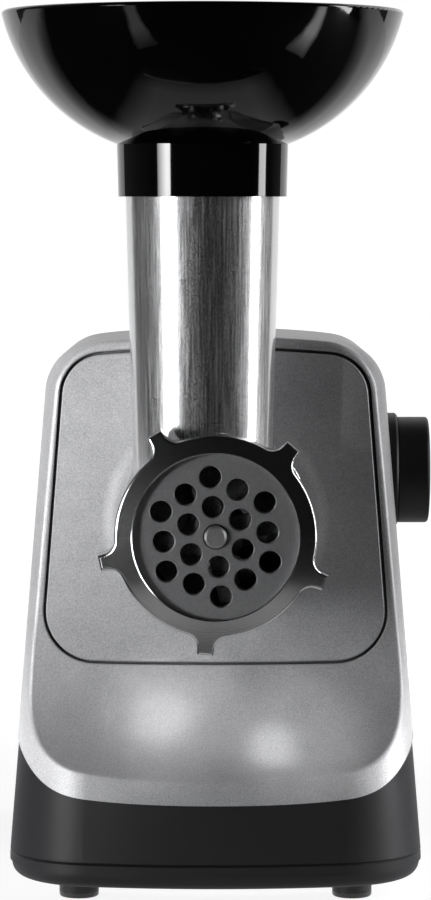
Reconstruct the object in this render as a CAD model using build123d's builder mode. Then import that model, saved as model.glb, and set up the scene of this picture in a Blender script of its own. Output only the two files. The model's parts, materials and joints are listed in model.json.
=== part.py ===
from build123d import *

import os
from math import acos, atan2, cos, degrees, pi, radians, sin, sqrt, tan

# An electric meat grinder, in millimetres. +X is the viewer's right, the front faces -Y, +Z is up,
# and the rubber feet stand on z = 0.

# Housing: plan at BASE_LEVEL, drafted sides, crowned top, and a scooped front above a toe
BASE_HALF_WIDTH = 80.0
BASE_FRONT = -56.5
BASE_REAR = 138.0
BASE_LEVEL = 16.0
SIDE_DRAFT_DEG = 4.7
FRONT_BOW_RADIUS = 253.0
FRONT_CORNER = 37.0
REAR_CORNER = 44.0
HOUSING_TOP = 215.2
ROOF_FALL_DEG = 0.6
CROWN = 5.1
CROWN_HALF = 69.0
SHOULDER = 20.0
PANEL_Y = -29.0
SCOOP_RADIUS = 42.0
SCOOP_TOP = 86.5
RIM_ROUND = 2.2
WALL = 2.8

# Joints between the mouldings
SEAM_Y = -6.0
SEAM_GROOVE = 1.2
STEP = 0.5
WAIST_FRONT = 38.3
WAIST_REAR = 64.5
WAIST_TOE_Y = -60.0
WAIST_HEEL_Y = 0.0
COVER_BOTTOM = 6.5
COVER_TOP = 16.2
COVER_STEP = 12.8
COVER_FLOOR = 2.6
COVER_ROUND = 5.6
SEAM_CHAMFER = 0.6

# Front panel, a rounded trapezoid let into the front shell
PANEL_THICK = 2.6
PANEL_TOP = 211.1
PANEL_BOTTOM = 89.2
PANEL_HALF_TOP = 58.4
PANEL_HALF_BOTTOM = 67.4
PANEL_CROWN = 3.4
PANEL_SAG = 1.3
PANEL_CORNER_TOP = 17.0
PANEL_CORNER_BOTTOM = 20.0
PANEL_GAP = 1.1
BOSS_RADIUS = 37.8
BOSS_ROOT_RADIUS = 43.5
BOSS_HEIGHT = 0.9

# Grinding head: barrel along Y, feed tube along Z
AXIS_Z = 145.3
TUBE_X = -4.8
TUBE_Y = -64.0
NUT_FRONT = -106.0
NUT_REAR = -91.0
NUT_LIP = 3.0
NUT_OPENING = 30.2
NUT_RADIUS = 36.8
NUT_LUG_RADIUS = 43.3
NUT_LUG_TIP = 6.0
NUT_LUG_ROOT = 12.0
NUT_ROOT_ROUND = 5.0
NUT_SLOPE = 0.22
NUT_EDGE = 1.3
NUT_MOUTH = 0.5
NUT_LUG_ANGLE = -23.0
NUT_LUGS = 5
THREAD_RADIUS = 33.6
RUN_GAP = 0.4
PLATE_RADIUS = 31.0
PLATE_THICK = 5.0
PLATE_HOLE = 8.0
PLATE_PITCH = 10.9
PLATE_TURN = 35.2
PLATE_EDGE = 0.35
KEY_WIDTH = 5.0
BORE = 26.0
BARREL_RADIUS = 32.0
BARREL_BACK = -39.0
NECK_FRONT = -34.0
NECK_BACK = -12.0
NECK_RADIUS = 27.6
TUBE_TOP = 278.3
TUBE_TOP_RADIUS = 28.7
TUBE_ROOT_RADIUS = 25.2
TUBE_WALL = 3.2

# Bayonet that holds the head
BAYONET_TURN = 40.0
BAYONET_LUGS = 3
BAYONET_LUG_DEG = 24.0
BAYONET_SLOT_DEG = 32.0
BAYONET_LUG_RADIUS = 31.0
BAYONET_GROOVE_RADIUS = 31.6
BAYONET_FRONT = -20.0
BAYONET_BACK = -11.5
SOCKET_RADIUS = 36.0
SOCKET_BORE = 28.0
SOCKET_FLANGE = 44.0
SOCKET_REAR = -4.0

# Auger, blade and drive
FLIGHT_TIP = 25.4
FLIGHT_PITCH = 20.0
FLIGHT_FRONT = -87.0
FLIGHT_BACK = -44.5
CORE_FRONT_RADIUS = 10.5
CORE_BACK_RADIUS = 14.5
CORE_BACK = -40.3
SQUARE_FRONT = -97.4
SQUARE_BACK = -91.0
SQUARE = 10.0
PIN_RADIUS = 4.1
PIN_CHAMFER = 0.9
PIN_REACH = 2.3
JOURNAL = 8.0
HEX_FLATS = 11.0
RUNNING = 0.06
BLADE_TIP = 24.8
BLADE_THICK = 5.4

# Hopper tray
COLLAR_BOTTOM = 268.2
COLLAR_RADIUS = 31.7
BOWL_RIM = 336.6
BOWL_ARC = 68.0
BOWL_ARC_X = 8.0
BOWL_ARC_Z = 351.2
BOWL_WALL = 2.8
THROAT = 24.6

# Gear train and motor
LID_BACK = 0.0
CASE_BACK = 31.5
CASE_PLATE = 4.0
CASE_WALL = 3.0
DRIVE_MODULE = 1.8
DRIVE_TEETH = 45
DRIVE_PINION = 10
FAST_MODULE = 0.9
FAST_TEETH = 60
FAST_PINION = 12
PRESSURE_DEG = 25.0
IDLER_X = -22.0
STAGE_A = (2.0, 16.0)
STAGE_B = (17.5, 25.5)
SHAFT = 6.0
IDLER_PIN = 3.5
MOTOR_SHAFT = 4.0
STATOR = (54.0, 92.0)
STATOR_WIDTH = 84.0
STATOR_HEIGHT = 72.0
ROTOR_RADIUS = 21.0
COMMUTATOR = (103.0, 117.0)
BRACKET = (118.5, 123.5)
FAN = (36.0, 46.0)
FAN_RADIUS = 30.0
FAN_BLADES = 9

# Control knob on the right side
KNOB_Y = 18.0
KNOB_Z = 160.8
KNOB_RADIUS = 20.8
KNOB_INNER = 71.6
KNOB_END = 83.5
BEZEL_RADIUS = 22.4
KNOB_STEM = 3.0
SWITCH_INNER = 52.0

# Feet and screws
FOOT_X = 52.4
FOOT_FRONT_Y = -28.0
FOOT_REAR_Y = 104.0
FOOT_RADIUS = 7.6
SCREW_X = 70.0
SCREW_YS = (6.0, 92.0)
SCREW_SHANK = 1.9
SCREW_HEAD = 3.8
POST_RADIUS = 5.6
POST_TOP = 36.0

DRAFT = tan(radians(SIDE_DRAFT_DEG))
IDLER_Z = AXIS_Z - sqrt((DRIVE_MODULE * (DRIVE_TEETH + DRIVE_PINION) / 2) ** 2 - IDLER_X**2)
MOTOR_Z = IDLER_Z - sqrt((FAST_MODULE * (FAST_TEETH + FAST_PINION) / 2) ** 2 - IDLER_X**2)
PLATE_FRONT = NUT_FRONT + NUT_LIP + 0.1
PLATE_BACK = PLATE_FRONT + PLATE_THICK
INNER_PANEL_Y = PANEL_Y + WALL + PANEL_THICK
FAR = 300.0

os.makedirs("parts", exist_ok=True)


def save(piece, label):
    """Label a finished piece and write it under that name."""
    piece.label = label
    export_step(piece, f"parts/{label}.step")


def front_plane(y, x=0.0, z=0.0):
    """Upright plane at depth y that faces the viewer, with sketch x along +X and sketch y along +Z."""
    return Plane(origin=(x, y, z), x_dir=(1, 0, 0), z_dir=(0, -1, 0))


def lathe_plane(x=0.0, z=AXIS_Z):
    """Plane for a section turned about a line along Y: sketch x is depth, sketch y is radius."""
    return Plane(origin=(x, 0, z), x_dir=(0, 1, 0), z_dir=(1, 0, 0))


def lathe_axis(x=0.0, z=AXIS_Z):
    """The line along Y that such a section is turned about."""
    return Axis((x, 0, z), (0, 1, 0))


def turned(points, x=0.0, z=AXIS_Z):
    """A piece turned about a line along Y from (depth, radius) corners."""
    with BuildPart() as piece:
        with BuildSketch(lathe_plane(x, z)):
            with BuildLine():
                Polyline(*points, close=True)
            make_face()
        revolve(axis=lathe_axis(x, z))
    return piece.part


def bush(front, back, outer, inner, x=0.0, z=AXIS_Z):
    """A plain sleeve along Y."""
    return turned([(front, inner), (front, outer), (back, outer), (back, inner)], x, z)


def rod(front, back, radius, x=0.0, z=AXIS_Z):
    """A plain round bar along Y."""
    return turned([(front, 0), (front, radius), (back, radius), (back, 0)], x, z)


def wedge(angle_deg):
    """Corners of a wide wedge from the centre, to be trimmed by a circle."""
    half = radians(angle_deg / 2)
    return [(0, 0), (FAR * cos(half), -FAR * sin(half)), (FAR * cos(half), FAR * sin(half))]


def plan_outline(level, inset):
    """Plan of the housing at a level: straight sides, a bowed front and four round corners."""
    half = BASE_HALF_WIDTH - inset
    front = BASE_FRONT + inset
    rear = BASE_REAR - inset
    corner_y = front + FRONT_BOW_RADIUS - sqrt(FRONT_BOW_RADIUS**2 - half**2)
    with BuildSketch(Plane.XY.offset(level)) as plan:
        with BuildLine():
            bow = ThreePointArc((-half, corner_y), (0, front), (half, corner_y))
            Polyline(bow @ 1, (half, rear), (-half, rear), bow @ 0)
        make_face()
        fillet(plan.vertices().group_by(Axis.Y)[0], radius=FRONT_CORNER - inset)
        fillet(plan.vertices().group_by(Axis.Y)[-1], radius=REAR_CORNER - inset)
    return plan.sketch


def housing_form(inset, setback=0.0, rim=0.0):
    """The housing's closed form, moved in by inset, its scooped front a further setback behind."""
    top = HOUSING_TOP - inset
    front = PANEL_Y + inset + setback
    wide = CROWN_HALF
    edge = top - CROWN
    with BuildPart() as form:
        levels = (0.0, HOUSING_TOP + WALL)
        loft([plan_outline(level, inset + (level - BASE_LEVEL) * DRAFT) for level in levels])
        fall = radians(ROOF_FALL_DEG)
        roof_plane = Plane(origin=(0, PANEL_Y, 0), x_dir=(1, 0, 0), z_dir=(0, -cos(fall), sin(fall)))
        with BuildSketch(roof_plane):
            with BuildLine():
                crown = ThreePointArc((-wide, edge), (0, top), (wide, edge))
                Polyline(crown @ 1, (FAR, edge), (FAR, -FAR), (-FAR, -FAR), (-FAR, edge), crown @ 0)
            make_face()
        extrude(amount=FAR, both=True, mode=Mode.INTERSECT)
        with BuildSketch(Plane.YZ):
            with BuildLine():
                centre = (front - SCOOP_RADIUS - inset, SCOOP_TOP)
                scoop = CenterArc(centre, SCOOP_RADIUS + inset, -85, 85)
                Polyline(scoop @ 1, (front, FAR), (FAR, FAR), (FAR, 0), ((scoop @ 0).X, 0), scoop @ 0)
            make_face()
        extrude(amount=FAR, both=True, mode=Mode.INTERSECT)
        roof = form.faces().sort_by(Axis.Z)[-1]
        fillet([e for e in roof.edges() if e.center().Y > front + 1], radius=SHOULDER - inset)
        if rim:
            nose = form.faces().filter_by(Plane.XZ).sort_by(Axis.Y)[0]
            hollow = form.faces().filter_by(GeomType.CYLINDER).sort_by(Axis.Y)[0]
            joined = nose.edges().sort_by(Axis.Z)[0]
            rim_edges = [edge for edge in nose.edges() + hollow.edges() if edge.length != joined.length]
            fillet(rim_edges, radius=rim)
    return form.part


def waist_region(upper, front=-FAR, back=FAR):
    """Side-view region above or below the curved joint between the shells and the base."""
    level = FAR if upper else -FAR
    with BuildSketch(Plane.YZ) as region:
        with BuildLine():
            toe = Line((-FAR, WAIST_FRONT), (WAIST_TOE_Y, WAIST_FRONT))
            sweep_up = Bezier(
                toe @ 1,
                (WAIST_TOE_Y * 0.66, WAIST_FRONT),
                (WAIST_TOE_Y * 0.57, WAIST_REAR - 2),
                (WAIST_HEEL_Y, WAIST_REAR),
            )
            Polyline(sweep_up @ 1, (FAR, WAIST_REAR), (FAR, level), (-FAR, level), toe @ 0)
        make_face()
        with Locations(((front + back) / 2, 0)):
            Rectangle(back - front, 4 * FAR, mode=Mode.INTERSECT)
    return region.sketch


def panel_outline(y, inset):
    """Front-view outline of the front panel: a trapezoid with a crowned top and round corners."""
    low = PANEL_HALF_BOTTOM - inset
    high = PANEL_HALF_TOP - inset
    edge = PANEL_TOP - PANEL_CROWN - inset
    with BuildSketch(front_plane(y)) as panel:
        with BuildLine():
            crown = ThreePointArc((-high, edge), (0, PANEL_TOP - inset), (high, edge))
            foot = PANEL_BOTTOM + inset
            sag = ThreePointArc((low, foot + PANEL_SAG), (0, foot), (-low, foot + PANEL_SAG))
            Line(crown @ 1, sag @ 0)
            Line(sag @ 1, crown @ 0)
        make_face()
        fillet(panel.vertices().group_by(Axis.Y)[-1], radius=PANEL_CORNER_TOP - inset)
        fillet(panel.vertices().group_by(Axis.Y)[0], radius=PANEL_CORNER_BOTTOM - inset)
    return panel.sketch


# Moulded shells and base
outer = housing_form(0.0, rim=RIM_ROUND)
grooved = housing_form(1.0)
inner = housing_form(WALL, PANEL_THICK)
base_outer = housing_form(STEP)
base_inner = housing_form(STEP + WALL)

with BuildPart() as front_shell:
    add(outer)
    add(inner, mode=Mode.SUBTRACT)
    extrude(waist_region(True, back=SEAM_Y), amount=FAR, both=True, mode=Mode.INTERSECT)
    extrude(panel_outline(PANEL_Y + PANEL_THICK, 0), amount=2 * PANEL_THICK, mode=Mode.SUBTRACT)
    lip = front_shell.faces().filter_by(Plane.XZ).sort_by(Axis.Y)[0]
    chamfer(lip.inner_wires()[0].edges(), length=0.5)
    with BuildSketch(front_plane(0, z=AXIS_Z)):
        Circle(SOCKET_RADIUS + 0.15)
    extrude(amount=-PANEL_Y, mode=Mode.SUBTRACT)
save(front_shell.part, "front_shell")

with BuildPart() as rear_shell:
    add(outer)
    extrude(waist_region(True, front=SEAM_Y + SEAM_GROOVE), amount=FAR, both=True, mode=Mode.INTERSECT)
    with BuildPart(mode=Mode.PRIVATE) as tongue:
        add(grooved)
        extrude(waist_region(True, SEAM_Y, SEAM_Y + SEAM_GROOVE), amount=FAR, both=True, mode=Mode.INTERSECT)
    add(tongue.part)
    add(inner, mode=Mode.SUBTRACT)
    with BuildSketch(front_plane(BASE_REAR, z=AXIS_Z - 34)):
        with GridLocations(8.0, 0, 9, 1):
            SlotCenterToCenter(36, 3.4, rotation=90)
    extrude(amount=40, mode=Mode.SUBTRACT)
    with BuildSketch(Plane.YZ.offset(FAR)):
        with Locations((KNOB_Y, KNOB_Z)):
            Circle(6.0)
    extrude(amount=-FAR, mode=Mode.SUBTRACT)
save(rear_shell.part, "rear_shell")

with BuildPart() as base_tub:
    add(base_outer)
    add(base_inner, mode=Mode.SUBTRACT)
    with BuildSketch(Plane.XY.offset(COVER_TOP)):
        with Locations(*[(side * SCREW_X, y) for side in (-1, 1) for y in SCREW_YS]):
            Circle(POST_RADIUS)
    extrude(amount=POST_TOP - COVER_TOP)
    extrude(waist_region(False), amount=FAR, both=True, mode=Mode.INTERSECT)
    with BuildSketch(Plane.XY.offset(COVER_TOP)):
        Rectangle(2 * FAR, 2 * FAR)
    extrude(amount=-FAR, mode=Mode.SUBTRACT)
    seat = base_tub.faces().group_by(Axis.Z)[0].sort_by(lambda face: face.outer_wire().length)[-1]
    chamfer(seat.outer_wire().edges(), length=SEAM_CHAMFER)
    with Locations(*[(side * SCREW_X, y, COVER_TOP) for side in (-1, 1) for y in SCREW_YS]):
        Cylinder(SCREW_SHANK, 36, mode=Mode.SUBTRACT)
    with BuildSketch(front_plane(BASE_REAR + 5, z=40)):
        Circle(7.0)
    extrude(amount=20, mode=Mode.SUBTRACT)
save(base_tub.part, "base_tub")

with BuildPart() as bottom_cover:
    extrude(plan_outline(COVER_BOTTOM, 2.4 * STEP), amount=COVER_STEP - COVER_BOTTOM)
    fillet(bottom_cover.edges().group_by(Axis.Z)[0], radius=COVER_ROUND)
    extrude(plan_outline(COVER_STEP, STEP), amount=COVER_TOP - COVER_STEP)
    chamfer(bottom_cover.edges().group_by(Axis.Z)[-1], length=SEAM_CHAMFER)
    extrude(
        plan_outline(COVER_BOTTOM + COVER_FLOOR, STEP + WALL + 3),
        amount=COVER_TOP,
        mode=Mode.SUBTRACT,
    )
    for side in (-1, 1):
        for y in SCREW_YS:
            with Locations((side * SCREW_X, y, COVER_BOTTOM)):
                Cylinder(POST_RADIUS, COVER_TOP - COVER_BOTTOM, align=(Align.CENTER, Align.CENTER, Align.MIN))
            with Locations((side * SCREW_X, y, COVER_BOTTOM)):
                Cylinder(SCREW_SHANK + 0.3, 2 * COVER_TOP, mode=Mode.SUBTRACT)
                Cylinder(SCREW_HEAD + 0.3, 8.0, mode=Mode.SUBTRACT)
    with BuildSketch(Plane.XY.offset(COVER_BOTTOM)):
        with Locations((0, MOTOR_Z)):
            with GridLocations(9.0, 0, 7, 1):
                SlotCenterToCenter(34, 4.0, rotation=90)
    extrude(amount=COVER_FLOOR, mode=Mode.SUBTRACT)
save(bottom_cover.part, "bottom_cover")

with BuildPart() as rubber_feet:
    with Locations(*[(side * FOOT_X, y, 0) for side in (-1, 1) for y in (FOOT_FRONT_Y, FOOT_REAR_Y)]):
        Cylinder(FOOT_RADIUS, COVER_BOTTOM, align=(Align.CENTER, Align.CENTER, Align.MIN))
    fillet(rubber_feet.edges().group_by(Axis.Z)[0], radius=0.8)
save(rubber_feet.part, "rubber_feet")

with BuildPart() as cover_screws:
    with Locations(*[(side * SCREW_X, y, COVER_BOTTOM + 4) for side in (-1, 1) for y in SCREW_YS]):
        Cylinder(SCREW_SHANK, 22, align=(Align.CENTER, Align.CENTER, Align.MIN))
        Cylinder(SCREW_HEAD, 3, align=(Align.CENTER, Align.CENTER, Align.MAX))
save(cover_screws.part, "cover_screws")

with BuildPart() as front_panel:
    extrude(panel_outline(PANEL_Y + PANEL_THICK, PANEL_GAP), amount=PANEL_THICK)
    chamfer(front_panel.faces().sort_by(Axis.Y)[0].edges(), length=0.5)
    with BuildSketch(lathe_plane()):
        with BuildLine():
            slope = Spline(
                (PANEL_Y, BOSS_ROOT_RADIUS),
                (PANEL_Y - BOSS_HEIGHT, BOSS_RADIUS),
                tangents=[(0, -1), (0, -1)],
            )
            Polyline(slope @ 1, (PANEL_Y - BOSS_HEIGHT, 0), (PANEL_Y, 0), slope @ 0)
        make_face()
    revolve(axis=lathe_axis())
    with BuildSketch(front_plane(0, z=AXIS_Z)):
        Circle(SOCKET_RADIUS + 0.1)
    extrude(amount=-2 * PANEL_Y, mode=Mode.SUBTRACT)
save(front_panel.part, "front_panel")

with BuildPart() as cord_inlet:
    with BuildSketch(front_plane(BASE_REAR + 0.7, z=40)):
        Circle(9.5)
    extrude(amount=2.2)
    with BuildSketch(front_plane(BASE_REAR + 0.7, z=40)):
        Circle(6.9)
    extrude(amount=9.0)
    fillet(cord_inlet.edges().filter_by(GeomType.CIRCLE).group_by(Axis.Y)[-1], radius=1.2)
    with BuildSketch(front_plane(BASE_REAR + 2, z=40)):
        Circle(3.8)
    extrude(amount=FAR, mode=Mode.SUBTRACT)
save(cord_inlet.part, "cord_inlet")

# Bayonet socket behind the panel
with BuildPart() as head_socket:
    with BuildSketch(lathe_plane()):
        with BuildLine():
            Polyline(
                (PANEL_Y - BOSS_HEIGHT - 1.0, SOCKET_BORE),
                (PANEL_Y - BOSS_HEIGHT - 1.0, SOCKET_RADIUS),
                (INNER_PANEL_Y, SOCKET_RADIUS),
                (INNER_PANEL_Y, SOCKET_FLANGE),
                (INNER_PANEL_Y + 3.4, SOCKET_FLANGE),
                (INNER_PANEL_Y + 3.4, SOCKET_RADIUS),
                (SOCKET_REAR, SOCKET_RADIUS),
                (SOCKET_REAR, 12.2),
                (SOCKET_REAR - 4, 12.2),
                (SOCKET_REAR - 4, SOCKET_BORE),
                (BAYONET_BACK, SOCKET_BORE),
                (BAYONET_BACK, BAYONET_GROOVE_RADIUS),
                (BAYONET_FRONT, BAYONET_GROOVE_RADIUS),
                (BAYONET_FRONT, SOCKET_BORE),
                close=True,
            )
        make_face()
    revolve(axis=lathe_axis())
    fillet(head_socket.edges().filter_by(GeomType.CIRCLE).group_by(Axis.Y)[0], radius=1.0)
    with BuildSketch(front_plane(BAYONET_FRONT, z=AXIS_Z)):
        with PolarLocations(0, BAYONET_LUGS, start_angle=90 - BAYONET_TURN):
            Polygon(*wedge(BAYONET_SLOT_DEG), align=None)
        Circle(BAYONET_GROOVE_RADIUS, mode=Mode.INTERSECT)
    extrude(amount=FAR, mode=Mode.SUBTRACT)
save(head_socket.part, "head_socket")

# Grinding head casting
with BuildPart() as grinder_head:
    add(
        turned(
            [
                (PLATE_FRONT + 0.4, 0),
                (PLATE_FRONT + 0.4, THREAD_RADIUS),
                (NUT_REAR + 0.6, THREAD_RADIUS),
                (NUT_REAR + 2.6, BARREL_RADIUS),
                (BARREL_BACK - 3, BARREL_RADIUS),
                (NECK_FRONT - 1.4, NECK_RADIUS + 1.6),
                (NECK_FRONT - 1.4, NECK_RADIUS),
                (NECK_BACK, NECK_RADIUS),
                (NECK_BACK, 0),
            ]
        )
    )
    with BuildSketch(front_plane(TUBE_Y, TUBE_X)):
        with BuildLine():
            Polyline(
                (0, AXIS_Z),
                (TUBE_ROOT_RADIUS, AXIS_Z),
                (TUBE_TOP_RADIUS, TUBE_TOP),
                (0, TUBE_TOP),
                close=True,
            )
        make_face()
    revolve(axis=Axis((TUBE_X, TUBE_Y, 0), (0, 0, 1)))
    with BuildSketch(front_plane(BAYONET_BACK - 2.5, z=AXIS_Z)):
        with PolarLocations(0, BAYONET_LUGS, start_angle=90):
            Polygon(*wedge(BAYONET_LUG_DEG), align=None)
        Circle(BAYONET_LUG_RADIUS, mode=Mode.INTERSECT)
    extrude(amount=5.0)
    add(
        turned(
            [
                (NUT_FRONT, 0),
                (NUT_FRONT, PLATE_RADIUS + 0.3),
                (PLATE_BACK + 0.1, PLATE_RADIUS + 0.3),
                (PLATE_BACK + 0.1, BORE),
                (BARREL_BACK, BORE),
                (BARREL_BACK, 12.0),
                (NECK_FRONT, 12.0),
                (NECK_FRONT, NECK_RADIUS - 4),
                (0, NECK_RADIUS - 4),
                (0, 0),
            ]
        ),
        mode=Mode.SUBTRACT,
    )
    with BuildSketch(front_plane(TUBE_Y, TUBE_X)):
        with BuildLine():
            Polyline(
                (0, AXIS_Z),
                (TUBE_ROOT_RADIUS - TUBE_WALL, AXIS_Z),
                (TUBE_TOP_RADIUS - TUBE_WALL, TUBE_TOP),
                (0, TUBE_TOP),
                close=True,
            )
        make_face()
    revolve(axis=Axis((TUBE_X, TUBE_Y, 0), (0, 0, 1)), mode=Mode.SUBTRACT)
    with Locations((0, PLATE_BACK - PLATE_THICK / 2, AXIS_Z - PLATE_RADIUS - 0.5)):
        Box(KEY_WIDTH - 0.8, PLATE_THICK - 0.6, 2.4)
save(grinder_head.part, "grinder_head")

save(
    turned(
        [
            (CORE_BACK + 0.3, JOURNAL + RUNNING),
            (CORE_BACK + 0.3, 14.0),
            (BARREL_BACK, 14.0),
            (BARREL_BACK, 12.0),
            (NECK_FRONT, 12.0),
            (NECK_FRONT, JOURNAL + RUNNING),
        ]
    ),
    "auger_bush",
)

# Auger with its helical flight, and what turns with it
with BuildPart() as auger:
    add(
        turned(
            [
                (CORE_BACK, SHAFT),
                (CORE_BACK, CORE_BACK_RADIUS),
                (SQUARE_BACK, CORE_FRONT_RADIUS),
                (SQUARE_BACK, PIN_RADIUS),
                (SQUARE_BACK + 12, PIN_RADIUS),
                (SQUARE_BACK + 12, 0),
                (CORE_BACK - 20, 0),
                (CORE_BACK - 20, SHAFT),
            ]
        )
    )
    with BuildLine(mode=Mode.PRIVATE) as spine:
        Helix(
            pitch=FLIGHT_PITCH,
            height=FLIGHT_BACK - FLIGHT_FRONT,
            radius=CORE_FRONT_RADIUS - 1.5,
            center=(0, FLIGHT_BACK, AXIS_Z),
            direction=(0, -1, 0),
        )
    start = spine.line @ 0
    outward = (start - Vector(0, FLIGHT_BACK, AXIS_Z)).normalized()
    with BuildSketch(Plane(origin=start, x_dir=outward, z_dir=outward.cross(Vector(0, 1, 0)))):
        with BuildLine():
            reach = FLIGHT_TIP - CORE_FRONT_RADIUS + 1.5
            Polyline((0, -3.2), (reach, -1.6), (reach, 1.6), (0, 3.2), close=True)
        make_face()
    sweep(path=spine.line, is_frenet=True)
    with BuildSketch(front_plane(SQUARE_BACK, z=AXIS_Z)):
        Rectangle(SQUARE, SQUARE, rotation=16)
        Circle(PIN_RADIUS, mode=Mode.SUBTRACT)
    extrude(amount=SQUARE_BACK - SQUARE_FRONT)
save(auger.part, "auger")

save(
    turned(
        [
            (PLATE_FRONT - PIN_REACH, 0),
            (PLATE_FRONT - PIN_REACH, PIN_RADIUS - PIN_CHAMFER),
            (PLATE_FRONT - PIN_REACH + PIN_CHAMFER, PIN_RADIUS),
            (SQUARE_BACK + 12, PIN_RADIUS),
            (SQUARE_BACK + 12, 0),
        ]
    ),
    "auger_pin",
)

with BuildPart() as drive_shank:
    add(rod(CORE_BACK - 20, CORE_BACK, SHAFT))
    add(rod(CORE_BACK, -31.6, JOURNAL))
    with BuildSketch(front_plane(-13.0, z=AXIS_Z)):
        RegularPolygon(HEX_FLATS / 2 - 0.12, 6, major_radius=False)
    extrude(amount=18.6)
save(drive_shank.part, "drive_shank")

with BuildPart() as cutting_blade:
    with BuildSketch(front_plane(SQUARE_BACK - 0.6, z=AXIS_Z)) as cross:
        Circle(9.0)
        with PolarLocations(0, 4, start_angle=16):
            Polygon((0, -4.4), (BLADE_TIP, -5.2), (BLADE_TIP, 3.0), (0, 5.6), align=None)
        Circle(BLADE_TIP, mode=Mode.INTERSECT)
        Rectangle(SQUARE + 0.3, SQUARE + 0.3, rotation=16, mode=Mode.SUBTRACT)
    extrude(amount=BLADE_THICK)
save(cutting_blade.part, "cutting_blade")

with BuildPart() as hole_plate:
    with BuildSketch(front_plane(PLATE_BACK, z=AXIS_Z)):
        Circle(PLATE_RADIUS)
        Circle(PIN_RADIUS + RUN_GAP, mode=Mode.SUBTRACT)
        for ring, count, turn in ((1.0, 6, 0), (2.0, 6, 0), (sqrt(3), 6, 30)):
            with PolarLocations(ring * PLATE_PITCH, count, start_angle=PLATE_TURN + turn):
                Circle(PLATE_HOLE / 2, mode=Mode.SUBTRACT)
        with Locations((0, -PLATE_RADIUS)):
            Rectangle(KEY_WIDTH, 2.0, mode=Mode.SUBTRACT)
    extrude(amount=PLATE_THICK)
    chamfer(hole_plate.faces().sort_by(Axis.Y)[0].inner_wires().edges(), length=PLATE_EDGE)
save(hole_plate.part, "hole_plate")

with BuildPart() as ring_nut:
    with BuildSketch(front_plane(NUT_REAR, z=AXIS_Z)) as crown_ring:
        Circle(NUT_RADIUS)
        with PolarLocations(0, NUT_LUGS, start_angle=NUT_LUG_ANGLE):
            Polygon(
                (0, -NUT_LUG_ROOT / 2),
                (NUT_LUG_RADIUS, -NUT_LUG_TIP / 2),
                (NUT_LUG_RADIUS, NUT_LUG_TIP / 2),
                (0, NUT_LUG_ROOT / 2),
                align=None,
            )
        roots = crown_ring.vertices().group_by(SortBy.DISTANCE)[0]
        fillet(roots, radius=NUT_ROOT_ROUND)
    extrude(amount=NUT_REAR - NUT_FRONT)
    add(
        turned(
            [
                (NUT_REAR, 0),
                (NUT_REAR, NUT_LUG_RADIUS + 4),
                (NUT_FRONT + (NUT_LUG_RADIUS + 4 - NUT_OPENING) * NUT_SLOPE, NUT_LUG_RADIUS + 4),
                (NUT_FRONT, NUT_OPENING),
                (NUT_FRONT, 0),
            ]
        ),
        mode=Mode.INTERSECT,
    )
    brow = ring_nut.faces().filter_by(GeomType.CONE)[0]
    fillet(brow.outer_wire().edges(), radius=NUT_EDGE)
    add(
        turned(
            [
                (NUT_FRONT - 1, 0),
                (NUT_FRONT - 1, NUT_OPENING + 1 + NUT_MOUTH),
                (NUT_FRONT + NUT_MOUTH, NUT_OPENING),
                (NUT_FRONT + NUT_LIP, NUT_OPENING),
                (NUT_FRONT + NUT_LIP, THREAD_RADIUS + RUN_GAP),
                (NUT_REAR + 1, THREAD_RADIUS + RUN_GAP),
                (NUT_REAR + 1, 0),
            ]
        ),
        mode=Mode.SUBTRACT,
    )
save(ring_nut.part, "ring_nut")

# Hopper tray: a bowl on a collar that slips over the feed tube
with BuildPart() as hopper_tray:
    with BuildSketch(front_plane(TUBE_Y, TUBE_X)):
        with BuildLine():
            rim_z = BOWL_RIM - BOWL_WALL / 2
            rim_x = BOWL_ARC_X + sqrt(BOWL_ARC**2 - (BOWL_ARC_Z - rim_z) ** 2)
            rim_in = BOWL_ARC_X + sqrt((BOWL_ARC - BOWL_WALL) ** 2 - (BOWL_ARC_Z - rim_z) ** 2)
            foot_z = BOWL_ARC_Z - sqrt(BOWL_ARC**2 - (COLLAR_RADIUS - BOWL_ARC_X) ** 2)
            throat_z = BOWL_ARC_Z - sqrt((BOWL_ARC - BOWL_WALL) ** 2 - (THROAT - BOWL_ARC_X) ** 2)
            outside = RadiusArc((COLLAR_RADIUS, foot_z), (rim_x, rim_z), -BOWL_ARC)
            lip_round = ThreePointArc(outside @ 1, ((rim_x + rim_in) / 2, BOWL_RIM), (rim_in, rim_z))
            inside = RadiusArc(lip_round @ 1, (THROAT, throat_z), BOWL_ARC - BOWL_WALL)
            Polyline(
                inside @ 1,
                (THROAT, TUBE_TOP + 0.2),
                (TUBE_TOP_RADIUS + 0.6, TUBE_TOP + 0.2),
                (TUBE_TOP_RADIUS + 0.6, COLLAR_BOTTOM),
                (COLLAR_RADIUS - 0.5, COLLAR_BOTTOM),
                outside @ 0,
            )
        make_face()
    revolve(axis=Axis((TUBE_X, TUBE_Y, 0), (0, 0, 1)))
save(hopper_tray.part, "hopper_tray")

# Control knob on a level axis, with a bezel that makes up for the draft of the side wall
bezel_plane = Plane.YZ.offset(KNOB_INNER - 0.4)
knob_plane = Plane.YZ.offset(KNOB_INNER)

with BuildPart() as knob_bezel:
    with BuildSketch(bezel_plane):
        with Locations((KNOB_Y, KNOB_Z)):
            Circle(BEZEL_RADIUS)
    extrude(amount=-BEZEL_RADIUS)
    chamfer(knob_bezel.faces().sort_by(Axis.X)[-1].edges(), length=0.8)
    add(outer, mode=Mode.SUBTRACT)
    with BuildSketch(bezel_plane):
        with Locations((KNOB_Y, KNOB_Z)):
            Circle(5.6)
    extrude(amount=-BEZEL_RADIUS, mode=Mode.SUBTRACT)
save(knob_bezel.part, "knob_bezel")

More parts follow.
